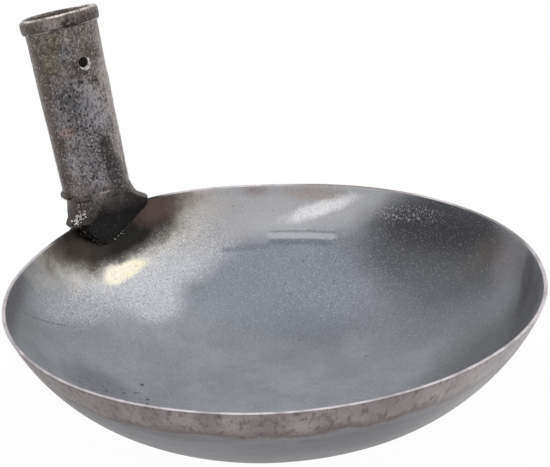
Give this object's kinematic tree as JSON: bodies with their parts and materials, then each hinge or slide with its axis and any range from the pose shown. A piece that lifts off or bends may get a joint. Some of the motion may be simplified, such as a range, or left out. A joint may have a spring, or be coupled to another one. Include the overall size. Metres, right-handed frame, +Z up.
{
  "type": "steel wok with a socket handle",
  "caption": "Sheet-steel wok with a small flat bottom and a hollow, tapered socket handle straddling the rim, a collared mouth and a nail hole for a wooden grip.",
  "frame": {"origin": "middle of the flat bottom's underside, on the bowl's axis", "axes": "+Z up along the bowl's axis, +X towards the socket handle"},
  "size_m": [0.3724, 0.32, 0.2121],
  "materials": {
    "bowl_steel": "hammered and ground sheet steel, blue-grey inside, brown-grey and streaked outside under the rim",
    "socket_steel": "mill-scaled sheet steel, mottled brown-grey, with a rubbed silver patch and black pits",
    "collar_steel": "dark brown-grey scale, rubbed bright on its upper edge",
    "scorched_steel": "scorched by the weld, dull",
    "scorched_weld": "black weld, glassy in places",
    "dark_weld": "rough dark weld metal",
    "bright_weld": "bright weld metal"
  },
  "bodies": {
    "root": {"bowl": "bowl_steel", "handle_foot": "scorched_steel", "socket_tube": "socket_steel", "mouth_collar": "collar_steel", "collar_weld": "bright_weld", "collar_tack": "dark_weld", "joint_bead": "dark_weld", "inner_weld": "scorched_weld", "outer_weld": "dark_weld", "rim_weld_tails": "dark_weld", "weld_spatter": "bright_weld"}
  },
  "joints": []
}
